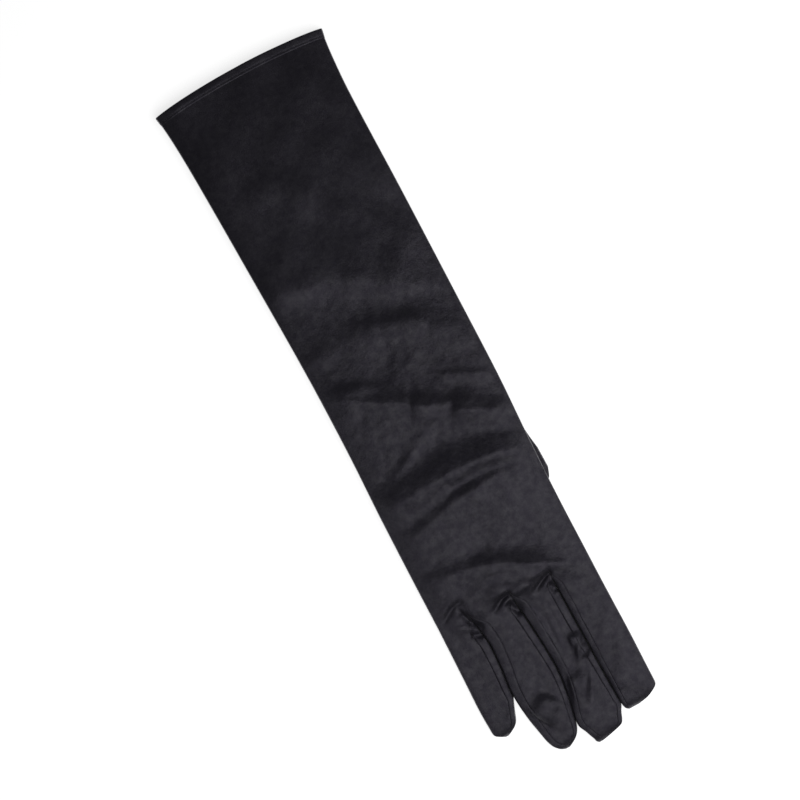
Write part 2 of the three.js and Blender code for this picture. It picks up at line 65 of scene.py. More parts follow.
# %% Sizes
SLEEVE_LENGTH = 293.0  # from the cuff to the crotches of the fingers
CUFF_WIDTH, WRIST_WIDTH, HAND_WIDTH = 94.0, 85.0, 84.0
CUFF_BOW = 2.9  # how far the middle of the cuff's edge stands out past its corners
CUFF_LEAN = -0.006  # how far the cuff's middle lies off the axis, as a share of the hand's width
MIDDLE_LENGTH = 87.5  # length of the middle finger
TIP_ROUNDING = 16.0  # how far from a fingertip its rounding starts
FINGER_OVERLAP = 0.2  # how far neighbouring fingers bulge over one another
EDGE = 4.2  # thickness of the solid glove at its long edges
HAND_EDGE, FINGER_EDGE = 6.4, 6.5  # the same, where the cloth turns down at the last moment
SLEEVE_SWELL, FINGER_SWELL = 4.0, 1.0  # how much thicker the middle is than EDGE, and than FINGER_EDGE
EDGE_BEND, FINGER_BEND = 0.6, 0.8  # how deep the rounding of an edge is
EDGE_UNDER = 2.6  # how far an outer edge turns under
EDGE_LEVEL = 0.6  # the share of its height at which an outer edge is widest
PALM_LIFT = 4.9  # how high the palm lies where the thumb is under it
STRIP_WIDTH = 5.0  # how wide a strip between two fingers shows
SPREAD = 14.0  # the length over which the fingers part
CLOTH = 0.45  # thickness of the satin
THUMB_PLACE, THUMB_REACH, THUMB_WIDTH = 241.0, 67.0, 46.0
THUMB_OVERHANG = 2.3  # how far the thumb's fold stands out from under the hand
THUMB_FOLD = 0.8  # radius of that fold

hem_low, hem_high = (np.array(corner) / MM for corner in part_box("cuff_hem"))
cuff_middle = (hem_low[0] + hem_high[0]) / 2 - CUFF_LEAN * HAND_WIDTH
SHIFT = np.array([cuff_middle, hem_low[1] + CUFF_BOW, 0.0])
print("glove frame to row frame", np.round(SHIFT, 3))


# %% [markdown]
# ## The camera first
# The glove was photographed from straight above and lies at 28.6 degrees in the picture, fingers down. The
# camera could be flat, without perspective. A long lens from far off was chosen, because it keeps the edges
# as parallel as they are there and still shows a little of the sides.

# %% The camera
PIXEL = 0.5  # millimetres of the table in one pixel
PICTURE = 800
SENSOR = 36.0
ALONG = np.array([0.4787, 0.8780])  # the way to the fingertips, as right and down in the picture
CAMERA_HEIGHT = 1300.0
TRUE_HEIGHT = 6.0  # height over the table at which a pixel is exactly that wide
PICTURE_MIDDLE = np.array([6.8, 182.3])


def place_in_scene(name, data):
    """Makes an object of the data and links it to the scene."""
    made = bpy.data.objects.new(name, data)
    bpy.context.collection.objects.link(made)
    return made


def axes_matrix(x, y, z, place):
    """The matrix that turns an object's axes to x, y and z and puts it at a place."""
    return Matrix([*np.stack([x, y, z, place], 1).tolist(), [0.0, 0.0, 0.0, 1.0]])


camera_data = bpy.data.cameras.new("camera")
camera_data.sensor_width = SENSOR
camera_data.lens = SENSOR * CAMERA_HEIGHT / (PIXEL * PICTURE)
camera_data.clip_end = 20.0
camera = place_in_scene("camera", camera_data)
right = np.array([-ALONG[1], ALONG[0], 0.0])
up = np.array([-ALONG[0], -ALONG[1], 0.0])
above = (np.array([*PICTURE_MIDDLE, CAMERA_HEIGHT + TRUE_HEIGHT]) + SHIFT) * MM
camera.matrix_world = axes_matrix(right, up, [0.0, 0.0, 1.0], above)
bpy.context.scene.camera = camera
print("lens", camera_data.lens)


# %% [markdown]
# ## Reading a table along a smooth curve
# An outline is a short table of named columns. Straight lines between its rows would show as corners in the
# satin's edge, so the values follow a smooth curve through the rows, as they do in the solid glove.

# %% The curve through a table
def read(table, column, at):
    """The column's value at each place in at, on a cubic curve whose slope at a row is that between its
    neighbours. Past both ends the value stays level."""
    places = np.array([row["at"] for row in table], float)
    values = np.array([row[column] for row in table], float)
    before = np.maximum(np.arange(len(places)) - 1, 0)
    after = np.minimum(np.arange(len(places)) + 1, len(places) - 1)
    slopes = (values[after] - values[before]) / (places[after] - places[before])
    at = np.clip(np.asarray(at, float), places[0], places[-1])
    row = np.clip(np.searchsorted(places, at, side="right") - 1, 0, len(places) - 2)
    span = places[row + 1] - places[row]
    t = (at - places[row]) / span
    start = values[row] * (2 * t**3 - 3 * t**2 + 1) + slopes[row] * span * (t**3 - 2 * t**2 + t)
    return start + values[row + 1] * (3 * t**2 - 2 * t**3) + slopes[row + 1] * span * (t**3 - t**2)


def smooth(value, low, high):
    """0 below low, 1 above high, and in between three squares less two cubes of the way from low to high."""
    t = np.clip((np.asarray(value, float) - low) / (high - low), 0, 1)
    return t * t * (3 - 2 * t)


def table(columns, *rows):
    """Rows of numbers under named columns."""
    return [dict(zip(columns.split(), row)) for row in rows]


# %% [markdown]
# ## The outline in plan
# The glove's panels are cut to one outline and sewn together along it. It could be drawn as a curve by hand.
# A table was chosen: each row mixes the widths of cuff, wrist and hand at one place along the sleeve, so the
# outline follows when one of them is changed. The lines between the fingers are shares of the width, and
# at its tip each finger loses a share of its own width on either side.

# %% The outline
SLEEVE_OUTLINE = table(
    "at cuff wrist hand lean",
    (0, 1, 0, 0, CUFF_LEAN), (0.05, 0.68, 0.32, 0, -0.005), (0.12, 0.45, 0.55, 0, -0.004),
    (0.31, 0.26, 0.74, 0, -0.008), (0.51, 0.05, 0.95, 0, -0.008), (0.66, 0, 1, 0, 0),
    (0.78, 0, 0.5, 0.5, 0.018), (0.89, 0, 0, 1, 0.03), (1, 0, 0, 1, 0.036),
)
FINGER_LINES = table(
    "at a b c d e",
    (0, 0, 0.258, 0.526, 0.804, 1), (0.18, 0.002, 0.256, 0.505, 0.771, 1.006),
    (0.35, 0.003, 0.255, 0.492, 0.778, 1.012), (0.52, 0.004, 0.254, 0.487, 0.796, 1.018),
    (0.68, 0.008, 0.253, 0.507, 0.784, 1.014), (0.85, 0.012, 0.251, 0.543, 0.752, 1.01),
    (1, 0.012, 0.251, 0.55, 0.74, 1.01),
)
FINGERS = [
    {"name": "index", "length": 80.0, "outer": "left"},
    {"name": "middle", "length": MIDDLE_LENGTH, "outer": None},
    {"name": "ring", "length": 82.4, "outer": None},
    {"name": "little", "length": 62.8, "outer": "right"},
]
TIPS = table(
    "at index_in index_out middle_in middle_out ring_in ring_out little_in little_out",
    (0, 0, 0, 0, 0, 0, 0, 0, 0), (0.25, 0, 0, 0, 0.02, 0, 0, 0.1, 0),
    (0.5, 0, 0, 0.08, 0.1, 0.01, 0.01, 0.2, 0), (0.7, 0.02, 0, 0.13, 0.15, 0.08, 0.06, 0.28, 0),
    (0.82, 0.15, 0.01, 0.2, 0.18, 0.18, 0.13, 0.37, 0.03),
    (0.93, 0.34, 0.04, 0.46, 0.2, 0.34, 0.23, 0.52, 0.16),
    (1, 0.6, 0.1, 0.66, 0.24, 0.47, 0.36, 0.64, 0.26),
)
# how wide each finger's strips show: towards the thumb's side and towards the little finger's side
STRIPS = {"index": (0, 0.7), "middle": (0.95, 1.0), "ring": (0.9, 1.15), "little": (1.0, 0)}


def lines_at(y):
    """The glove's two edges and the three lines between the fingers, as five values of x for each y: shares
    of the width there, counted from the thumb's side."""
    y = np.asarray(y, float)
    along = y / SLEEVE_LENGTH
    widths = {"cuff": CUFF_WIDTH, "wrist": WRIST_WIDTH, "hand": HAND_WIDTH}
    width = sum(read(SLEEVE_OUTLINE, name, along) * size for name, size in widths.items())
    thumb_side = read(SLEEVE_OUTLINE, "lean", along) * HAND_WIDTH - width / 2
    past = (y - SLEEVE_LENGTH) / MIDDLE_LENGTH
    return np.stack([thumb_side + read(FINGER_LINES, line, past) * width for line in "abcde"], -1)


print("edges and finger lines at the crotches", np.round(lines_at(SLEEVE_LENGTH), 1))

# %% [markdown]
# ## The thumb's outline
# The thumb is a tapered bag of satin that lies folded under the palm. The palm has to rise over it, so the
# thumb's plan is needed before the palm's height. A middle line and a width along its reach were chosen over
# one closed curve, because both stay simple to read.

# %% The thumb in plan
THUMB_OUTLINE = table(
    "at middle width",
    (0, 0.008, 0.24), (0.009, -0.007, 0.35), (0.02, -0.04, 0.53), (0.035, -0.13, 0.87),
    (0.057, -0.166, 1), (0.19, -0.076, 0.92), (0.44, 0.124, 0.86), (0.64, 0.264, 0.754),
    (0.79, 0.363, 0.663), (0.92, 0.448, 0.435), (1, 0.455, 0.2),
)
THUMB_BASE = float(lines_at(THUMB_PLACE)[0]) - THUMB_OVERHANG
THUMB_NEAR, THUMB_FAR = 0.057, 0.79  # shares of its reach where it comes closest to the cuff and to the tips
PALM_RAMP = 44.0  # length of the palm's rise to the thumb, and of its fall
PALM_DROP, BACK_DROP = 0.85, 0.25  # shares of the rise that palm and back lose again past the thumb's tip
BACK_START = 0.34  # share of the sleeve's length where the back starts to rise
BACK_LIFT = 0.45  # share of the palm's rise that shows on the back


def thumb_middle(at):
    """y of the thumb's middle line at a share of its reach."""
    return THUMB_PLACE + read(THUMB_OUTLINE, "middle", at) * THUMB_REACH


def thumb_half(at):
    """Half of the thumb's width at a share of its reach."""
    return read(THUMB_OUTLINE, "width", at) * THUMB_WIDTH / 2


thumb_from = float(thumb_middle(THUMB_NEAR) - thumb_half(THUMB_NEAR))
thumb_to = float(thumb_middle(THUMB_FAR) + thumb_half(THUMB_FAR))


def past_tip(x):
    """0 over the thumb and 1 a quarter of the hand's width past its tip."""
    return smooth(x, THUMB_BASE + THUMB_REACH, THUMB_BASE + THUMB_REACH + HAND_WIDTH / 4)


def over_thumb(y, start):
    """A smooth rise from start to the thumb's near side, times the same fall past its far side."""
    return smooth(y, start, thumb_from) * (1 - smooth(y, thumb_to, thumb_to + PALM_RAMP))


def under(x, y):
    """Height of the glove's underside: over the thumb it is the thumb's thickness, most of it lost again
    past the thumb's tip."""
    return PALM_LIFT * over_thumb(y, thumb_from - PALM_RAMP) * (1 - PALM_DROP * past_tip(x))


def lift(x, y):
    """Height that the back of the hand gains over the sleeve. It starts much earlier than the thumb, as
    cloth bridges a step."""
    gain = BACK_LIFT * PALM_LIFT * over_thumb(y, SLEEVE_LENGTH * BACK_START)
    return gain * (1 - BACK_DROP * past_tip(x))


print("thumb reaches from", round(THUMB_BASE, 1), "y", round(thumb_from, 1), "to", round(thumb_to, 1))

# %% [markdown]
# ## Folds as strokes
# Satin that has been folded and worn keeps long soft ridges with one steep side, short sharp creases where a
# seam gathers it, and shallow dimples. A simulation would put them where it likes. Here each is a stroke: a
# line on the cloth, a height and how far the ridge runs out on the cuff's side and on the fingertips' side
# of the line. That was chosen because a stroke can follow a real fold.

# %% The height of a table of strokes
BELL_REACH = 2.6  # a bell is as good as flat past this many widths
SHARP_FROM, SHARPNESS = -1, 1.15  # creases deeper than this are pointed at the bottom


def smooth_path(points, steps=8):
    """More points on a smooth curve through a path's points, with steps of them between two. A path of two
    points stays straight."""
    points = np.array(points, float)
    if len(points) == 2:
        return points[0] + (points[1] - points[0]) * np.linspace(0, 1, 3)[:, None]
    rows = [{"at": i, "x": x, "y": y} for i, (x, y) in enumerate(points)]
    at = np.linspace(0, len(points) - 1, (len(points) - 1) * steps + 1)
    return np.stack([read(rows, "x", at), read(rows, "y", at)], -1)


def strokes(x, y, rows):
    """The sum of all strokes at x, y. A stroke's height falls off as a bell with the distance to its line,
    and runs out towards both ends of the line. Creases over 1 mm deep come to a point instead."""
    total = np.zeros(x.shape)
    for height, cuffward, tipward, *points in rows:
        path = smooth_path(points)
        reach = BELL_REACH * max(cuffward, tipward)
        low, high = path.min(0) - reach, path.max(0) + reach
        near = (x > low[0]) & (x < high[0]) & (y > low[1]) & (y < high[1])
        if not near.any():
            continue
        p = np.stack([x[near], y[near]], -1)[:, None, :]
        a, b = path[None, :-1], path[None, 1:]
        along = np.clip(((p - a) * (b - a)).sum(-1) / ((b - a) ** 2).sum(-1), 0, 1)
        offset = p - a - along[..., None] * (b - a)
        distance = np.sqrt((offset**2).sum(-1))
        nearest = distance.argmin(1)
        pick = np.arange(len(nearest))
        distance = distance[pick, nearest]
        place = (nearest + along[pick, nearest]) / (len(path) - 1)
        turn = (b - a)[0][nearest]
        side = turn[:, 1] * offset[pick, nearest, 0] - turn[:, 0] * offset[pick, nearest, 1]
        width = np.where(side > 0, tipward, cuffward)
        fade = 1 - np.abs(2 * place - 1) ** 4
        sharpness = SHARPNESS if height < SHARP_FROM else 2
        total[near] += height * fade * np.exp(-((distance / width) ** sharpness))
    return total


# %% [markdown]
# The strokes of the upper side, from the cuff to the fingertips. Each row holds the height, the run-out on
# the cuff's side and on the tips' side, and the points of the line, from the little finger's side to the
# thumb's.

# %% Folds of the sleeve, the wrist and the hand
SLEEVE_FOLDS = [
    (0.4, 3, 4.5, (42, 4), (32, 3), (22, 3), (6, 3.5)),
    (0.4, 8, 9, (30, 52), (8, 61), (-6, 72)),
    (0.35, 6, 6, (2, 76), (-12, 84), (-26, 97), (-36, 118)),
    (1.7, 20, 7.5, (50, 104), (40, 105.5), (30, 107.5), (20, 110), (10, 112.5), (0, 116.5), (-9, 122.5),
     (-18, 128), (-27, 132), (-36, 135)),
    (0.5, 12, 6, (3, 116), (-6, 121), (-12, 126), (-20, 129), (-27, 131)),
    (0.4, 5, 6, (-22, 133), (-32, 137), (-42, 138)),
    (1.0, 6, 8, (28, 145), (10, 144.5), (0, 146), (-8, 147.5), (-15, 150), (-22, 154.5), (-32, 164)),
    (0.4, 5, 8, (-2, 146.5), (-8, 147.5), (-15, 150), (-24, 156)),
    (0.5, 5, 5, (44, 143), (34, 144.5), (22, 146)),
    (0.6, 5, 8, (-24, 156), (-32, 164), (-38, 176)),
]
WRIST_FOLDS = [
    (2.0, 6.5, 15, (46, 163.5), (35, 168), (30, 170.5), (25, 173), (20, 176.5), (10, 182.5), (0, 189.5),
     (-8, 194)),
    (0.3, 1.2, 1.2, (40, 166), (30, 170.5), (20, 176.5), (10, 182.5), (0, 189.5), (-6, 193)),
    (1.7, 5.5, 9, (4, 188), (0, 190), (-4, 192.3), (-10, 194.5), (-20, 198), (-30, 203)),
    (0.6, 3, 3, (36, 164), (28, 166), (20, 168), (14, 172)),
    (0.6, 2.2, 3, (-15, 180.5), (-22, 183), (-28, 185.8), (-34, 189), (-41, 192.5)),
    (2.3, 5, 8, (-13, 199), (-20, 203), (-28, 207), (-34, 209.5), (-44, 212)),
    (0.25, 1.2, 1.2, (-14, 199.5), (-24, 205), (-34, 209.5)),
    (0.35, 2, 2, (-2, 192), (-9, 193.5), (-12, 197)),
    (0.4, 1.5, 2, (5, 198.5), (0, 197), (-7, 198.5)),
    (0.6, 2.6, 2.5, (30, 215), (20, 211.5), (12, 207.5), (7, 204.5), (-1, 203.5)),
    (0.2, 1.5, 1.5, (28, 189.5), (20, 188.6), (12, 188)),
    (0.2, 1.5, 1.5, (27, 195.5), (18, 195), (11, 194)),
    (0.25, 2, 2, (42, 173), (36, 177), (30, 179)),
    (0.3, 2.5, 2, (43, 184), (38, 187.5), (33, 189)),
]
HAND_FOLDS = [
    (3.8, 9.5, 8.5, (56, 230), (44, 228.3), (30, 227.8), (20, 227.3), (10, 226.8), (0, 226.4), (-10, 226.6),
     (-20, 227.8), (-30, 229.8), (-40, 232), (-54, 236)),
    (0.35, 2.2, 2.6, (38, 228), (20, 227.3), (0, 226.4), (-20, 227.8), (-36, 232)),
    (2.6, 6, 18, (42, 248), (30, 246.5), (20, 244), (10, 241.5), (0, 240.5), (-12, 240), (-24, 240),
     (-46, 239)),
    (0.9, 5, 8, (17, 243), (4, 240.6), (-9, 240.4)),
    (-0.9, 3.5, 3.2, (8, 234.4), (-6, 233.6), (-20, 234.4), (-36, 238)),
    (0.35, 1.5, 1.5, (11, 241), (4, 235)),
    (0.3, 4, 5, (44, 246), (30, 245), (14, 244)),
    (3.0, 5.8, 13, (54, 268.5), (40, 270.5), (30, 272), (20, 273.2), (15, 274.2), (10, 275.5), (5, 277),
     (0, 279), (-5, 281.5), (-10, 284.5), (-15, 287.4), (-20, 290), (-26, 293), (-36, 298)),
    (0.7, 2.2, 3, (-2, 281), (-8, 283.8), (-15, 287.2), (-22, 291), (-30, 295)),
    (0.6, 1.8, 4, (18, 279.5), (10, 281), (2, 283.5), (-5, 287), (-12, 290)),
    (0.3, 1.3, 1.3, (24, 271), (15, 272.8), (10, 274.5), (5, 276.5), (0, 279), (-5, 281.5), (-10, 284.5),
     (-16, 288)),
    (0.7, 3, 4, (43, 272.5), (36, 276.5), (31, 280), (25, 285)),
    (1.5, 4, 11, (42, 291), (33, 289.4), (24, 287.6), (18, 285.6), (12, 285), (6, 287), (0, 289.4), (-6, 291),
     (-14, 293)),
]

# %% [markdown]
# Where the strips between the fingers start, the seams of four pieces of cloth meet and pull it into short
# deep creases. The fingers have dimples where they were folded and shallow wrinkles along the seams.

# %% Creases at the crotches and on the fingers
CROTCH_FOLDS = [
    (-2.6, 0.9, 1.5, (17, 298.5), (12, 295), (9, 293.6), (4, 293.2)),
    (0.7, 1.6, 1.2, (13, 292), (8, 290.8), (3, 291.5)),
    (-3.0, 2.1, 1.8, (8.6, 296.5), (6.6, 301), (3.8, 305)),
    (0.4, 1.0, 1.0, (6.4, 295.6), (4.6, 297.4)),
    (-2.6, 0.9, 1.5, (-5.5, 298.8), (-10.5, 296), (-14, 294.4), (-19, 293)),
    (0.6, 1.4, 1.2, (-6, 292), (-12, 291), (-18, 290.5)),
    (-2.4, 1.6, 1.6, (-14, 297.8), (-15.6, 301), (-17, 303.6)),
    (0.6, 1.4, 1.6, (4, 294.6), (-1, 294), (-7, 293.4)),
    (-1.7, 0.9, 1.5, (42, 291.5), (36, 287.4), (32, 285.4), (27, 285.2)),
    (0.6, 1.5, 1.2, (41, 286.5), (35, 283.8), (30, 282.8)),
    (-2.8, 1.6, 1.6, (31.8, 287), (30.2, 293), (28.2, 298), (24, 302.5)),
    (0.5, 1.2, 1.2, (34, 290.5), (31, 289.5)),
    (-2.6, 2.0, 2.2, (32, 302.5), (29, 304), (26, 305.5)),
    (0.5, 1.6, 1.6, (40, 296), (34, 297.5), (30, 300)),
    (-0.5, 2.5, 2.5, (42, 304), (36, 301)),
]
FINGER_FOLDS = [
    (2.4, 4.6, 10, (23, 354.5), (18, 351.5), (12, 347)),
    (2.5, 5.0, 11, (1, 347), (-5, 348.8), (-9.5, 351)),
    (1.6, 2.4, 6, (-9.5, 328), (-12.5, 328.4), (-16, 330)),
    (1.5, 2.2, 8, (-10.5, 333), (-13.5, 334.4), (-17, 337)),
    (-0.4, 1.3, 1.3, (-11.6, 339), (-14.8, 341)),
    (0.35, 1.1, 1.1, (-12, 336.6), (-15.6, 338)),
    (0.4, 1.0, 1.2, (-0.6, 303), (-1.6, 313), (-2.4, 322)),
    (0.35, 1.1, 1.3, (-7.6, 305), (-7, 316), (-5.6, 330)),
    (0.3, 1.2, 1.2, (-10.8, 303), (-10.4, 314), (-10, 326)),
    (-0.35, 1.2, 1.2, (-3.6, 306), (-4.4, 316), (-4, 326)),
    (1.3, 4.5, 9, (-20, 362), (-28, 350), (-39, 338)),
    (0.7, 4.5, 9, (-20, 344), (-27, 334), (-34, 322)),
    (-0.3, 3.5, 3.5, (-29, 300), (-31, 308), (-30, 314)),
    (-0.35, 3, 3, (22, 366), (15, 360), (11, 354)),
    (-0.35, 4, 4, (42, 336), (38, 342), (34, 346)),
    (0.3, 3, 3, (16, 306), (17, 318), (16, 332)),
    (-0.3, 3.5, 3.5, (44, 310), (40, 318), (39, 330)),
    (-0.3, 4, 4, (-4, 356), (-9, 361), (-10, 368)),
]
UPPER_FOLDS = SLEEVE_FOLDS + WRIST_FOLDS + HAND_FOLDS + CROTCH_FOLDS + FINGER_FOLDS
print(len(UPPER_FOLDS), "strokes on the upper side")

# %% [markdown]
# The underside rests on the table, so its folds only push the cloth up, where the palm bridges to the
# thumb and in the palm itself. It is hidden here, so these few folds are like those that show on a palm.

# %% Folds of the underside
LOWER_FOLDS = [
    (1.0, 4, 3, (38, 150), (12, 158), (-14, 166), (-34, 170)),
    (1.2, 3, 4, (40, 176), (20, 184), (0, 190), (-20, 192)),
    (0.9, 3, 3, (36, 196), (22, 203), (8, 210)),
    (1.1, 4, 3, (40, 232), (34, 246), (33, 262)),
    (0.8, 3, 3, (12, 288), (-6, 286), (-24, 284)),
    (0.8, 2, 2, (-18, 300), (-24, 306), (-32, 309)),
    (0.8, 2, 2, (4, 302), (-5, 305), (-13, 304)),
    (0.8, 2, 2, (24, 303), (16, 306), (8, 304)),
    (0.6, 5, 6, (20, 60), (0, 72), (-24, 78)),
    (0.6, 5, 4, (34, 104), (10, 112), (-16, 120)),
]
print(len(LOWER_FOLDS), "strokes on the underside")


# %% [markdown]
# ## Heights of the two layers
# Between its edges the upper layer stands a few millimetres over the lower one. It could be a cushion's
# crown, but satin on satin lies nearly level and turns down at the last moment, on the hand and on each
# finger. Waves of a tenth of a millimetre in all directions keep it from looking like sheet metal.

# %% Unevenness and the swell
CUFF_EDGE_SHARE = 0.3  # how much of the hand's higher edge is there at the cuff
EDGE_RISE = 70.0  # the length in which the rest comes in
HAND_LEVEL, FINGER_LEVEL = 8, 6  # the higher, the closer to its edges the cloth stays level


def uneven(x, y, seed, longest, count=26):
    """A sum of waves in all directions, between a third of the longest wave's length and all of it."""
    random = np.random.default_rng(seed)
    total = np.zeros(np.shape(x))
    for _ in range(count):
        turn = random.uniform(0, math.tau)
        length = longest * random.uniform(0.33, 1)
        across = (x * math.cos(turn) + y * math.sin(turn)) * math.tau / length
        total = total + np.sin(across + random.uniform(0, math.tau)) * math.sqrt(2 / count)
    return total


def swell(x, y):
    """Room between the layers beyond EDGE: 1 less a high power of the way from the middle to an edge, across
    the hand, and past the crotches across each finger."""
    lines = lines_at(y)

    def level(left, right, power):
        return 1 - np.minimum(np.abs((2 * x - left - right) / (right - left)), 1) ** power

    finger = np.clip((lines[..., 1:4] < x[..., None]).sum(-1), 0, 3)[..., None]
    left = np.take_along_axis(lines, finger, -1)[..., 0]
    right = np.take_along_axis(lines, finger + 1, -1)[..., 0]
    parted = smooth(y, SLEEVE_LENGTH - SPREAD, SLEEVE_LENGTH + SPREAD)
    edge = (HAND_EDGE - EDGE) * (CUFF_EDGE_SHARE + (1 - CUFF_EDGE_SHARE) * smooth(y, 0, EDGE_RISE))
    hand = edge + (SLEEVE_SWELL - edge) * level(lines[..., 0], lines[..., 4], HAND_LEVEL)
    finger = FINGER_EDGE - EDGE + FINGER_SWELL * level(left, right, FINGER_LEVEL)
    return hand * (1 - parted) + finger * parted


across = np.linspace(-35.0, 30.0, 5)
print("room between the layers across the hand", np.round(swell(across, 0 * across + THUMB_PLACE), 2))

# %% [markdown]
# The cuff is nearly smooth, so the short waves come in where the worn part starts. Near the long edges all
# relief fades, as the seam there holds the cloth.

# %% The heights
FOLD_HEIGHT = 1.08  # all folds of the upper side are this much higher than in their table
WORN_FROM, WORN_TO = 90, 180  # where the handled part starts, and where it is fully there
WAVES = table(
    "new worn seed longest",
    (0.13, 0.13, 3, 46), (0.02, 0.07, 4, 13), (0, 0.012, 6, 5),
)
EDGE_RELIEF, EDGE_FADE = 0.45, 9  # the share of relief left at the long edges, and how far that reaches


def inward(x, y):
    """Distance to the nearer long edge."""
    lines = lines_at(y)
    return np.minimum(x - lines[..., 0], lines[..., 4] - x)


def upper(x, y):
    """Height of the upper layer over the underside: edge, swell, folds and unevenness."""
    fade = EDGE_RELIEF + (1 - EDGE_RELIEF) * smooth(inward(x, y), 0, EDGE_FADE)
    worn = smooth(y, WORN_FROM, WORN_TO)
    relief = FOLD_HEIGHT * strokes(x, y, UPPER_FOLDS)
    for wave in WAVES:
        height = wave["new"] + (wave["worn"] - wave["new"]) * worn
        relief += height * uneven(x, y, wave["seed"], wave["longest"])
    return EDGE + swell(x, y) + relief * fade


def lower(x, y):
    """Height of the lower layer over the table's or thumb's surface. It never goes below that."""
    relief = strokes(x, y, LOWER_FOLDS) + 0.12 * np.maximum(uneven(x, y, 5, 40), 0)
    return np.maximum(relief, 0) * smooth(inward(x, y), 0, 6)


# %% [markdown]
# ## The borders of a finger
# A finger's cross-section is a panel above and below, and a rounding at each side. On the sides that face
# another finger the rounding belongs to the strip that is sewn in there, which starts as a point at the
# crotch and spreads out. At the glove's two outer edges the cloth turns under, so there the rounding is
# tight above and deep below. An even rounding would look like a slab from the side.

# %% Borders
TIP_THINNING = 0.82


def bow(x, y):
    """How far the cuff's edge and the cloth behind it stand out: a parabola that fades along the sleeve."""
    return CUFF_BOW * (1 - (2 * x / CUFF_WIDTH) ** 2) * (1 - smooth(y, 0, CUFF_WIDTH / 2))


def borders(f, y):
    """For each y: the finger's two edges, how deep each is rounded above and below, the seams of its upper
    and lower panel, and how flat the finger has become towards its tip. Full thickness is 1, and it is the
    root of 1 less a share of the fifth power of the way through the tip."""
    lines, finger = lines_at(y), FINGERS[f]
    past = y - SLEEVE_LENGTH
    tip = np.maximum(0, 1 - (finger["length"] - past) / TIP_ROUNDING)
    flat = np.sqrt(1 - TIP_THINNING * tip**5)
    rounded = smooth(past, 0, SPREAD * 0.8)
    apart = -FINGER_OVERLAP / 2 * rounded * flat
    spread = smooth(past, -0.4, 9) * (1 - 0.4 * smooth(past, SPREAD, finger["length"]))
    left_outer, right_outer = finger["outer"] == "left", finger["outer"] == "right"
    left = lines[..., f] + (0 if left_outer else apart)
    right = lines[..., f + 1] - (0 if right_outer else apart)
    lost_in = read(TIPS, finger["name"] + "_in", tip) * (right - left)
    lost_out = read(TIPS, finger["name"] + "_out", tip) * (right - left)
    left, right = left + lost_in, right - lost_out
    widest = (right - left) / 2.6
    bends, unders, seams = [], [], []
    for outer, share in zip((left_outer, right_outer), STRIPS[finger["name"]]):
        bend = np.minimum((EDGE_BEND if outer else FINGER_BEND * rounded) * flat, widest * 0.7)
        bends.append(bend)
        unders.append(np.minimum(EDGE_UNDER * flat, widest * 0.9) if outer else bend)
        seams.append(bend if outer else np.clip(STRIP_WIDTH * share * spread, bend, widest))
    return {"left": left, "right": right, "flat": flat, "outer": finger["outer"],
            "left_bend": bends[0], "right_bend": bends[1], "left_under": unders[0], "right_under": unders[1],
            "left_seam": left + seams[0], "right_seam": right - seams[1],
            "left_low": left + np.maximum(seams[0], unders[0]),
            "right_low": right - np.maximum(seams[1], unders[1])}


# %% [markdown]
# ## Grids of cloth
# Every patch is a grid: rows along the glove and columns round it, always in the same sense, so that all
# faces point outwards. Columns are closer together near the seams, where the thread pulls the cloth into a
# groove with a low roll beside it and small puckers across it. A bump map could show them too, but grooves
# in the mesh also show at the edge of a finger.

# %% Heights on a patch, with the seams pressed in
OFF_TABLE = 0.02  # the least height of the underside over the table
SIDE_SKEW = 0.5  # how far two neighbouring fingers' sides lean the same way, so that they fit together
SEAM_DEPTH, SEAM_HALF = 0.1, 0.6  # the groove's depth and half of its width
ROLL_HEIGHT, ROLL_OFF, ROLL_HALF = 0.05, 1.0, 0.5
PUCKER_HEIGHT, PUCKER_LENGTH, PUCKER_HALF = 0.07, 4.3, 1.9


def seam_relief(f, x, y, b):
    """Along both seams of a finger: a bell downwards at the seam, a bell upwards on each side of it, and a
    wave along it that fades across it. The wave's length wanders, and all fades in past the crotch."""
    total = np.zeros(x.shape)
    started = smooth(y, SLEEVE_LENGTH + 4, SLEEVE_LENGTH + 14) * (0.65 + 0.35 * np.sin(y / 5.1 + f * 2))
    for seam, name in ((b["left_seam"], "left"), (b["right_seam"], "right")):
        if b["outer"] == name:
            continue
        off = x - seam
        groove = -SEAM_DEPTH * np.exp(-((off / SEAM_HALF) ** 2))
        roll = ROLL_HEIGHT * np.exp(-(((np.abs(off) - ROLL_OFF) / ROLL_HALF) ** 2))
        wave = np.sin(y * math.tau / PUCKER_LENGTH + 2.1 * np.sin(y / 7.0))
        pucker = PUCKER_HEIGHT * wave * np.exp(-((off / PUCKER_HALF) ** 2))
        total += (groove + roll + pucker) * started
    return total


def upper_patch(f, x, y, b):
    """Points of the upper layer at x, y."""
    height = upper(x, y) + seam_relief(f, x, y, b)
    z = lift(x, y) + EDGE / 2 + (height - EDGE / 2) * b["flat"]
    return np.stack([x, y - bow(x, y), z], -1)


def lower_patch(f, x, y, b):
    """Points of the lower layer at x, y, with the same grooves turned over."""
    height = lower(x, y) - seam_relief(f, x, y, b)
    z = under(x, y) + EDGE / 2 + (height - EDGE / 2) * b["flat"]
    return np.stack([x, y - bow(x, y), np.maximum(z, OFF_TABLE)], -1)


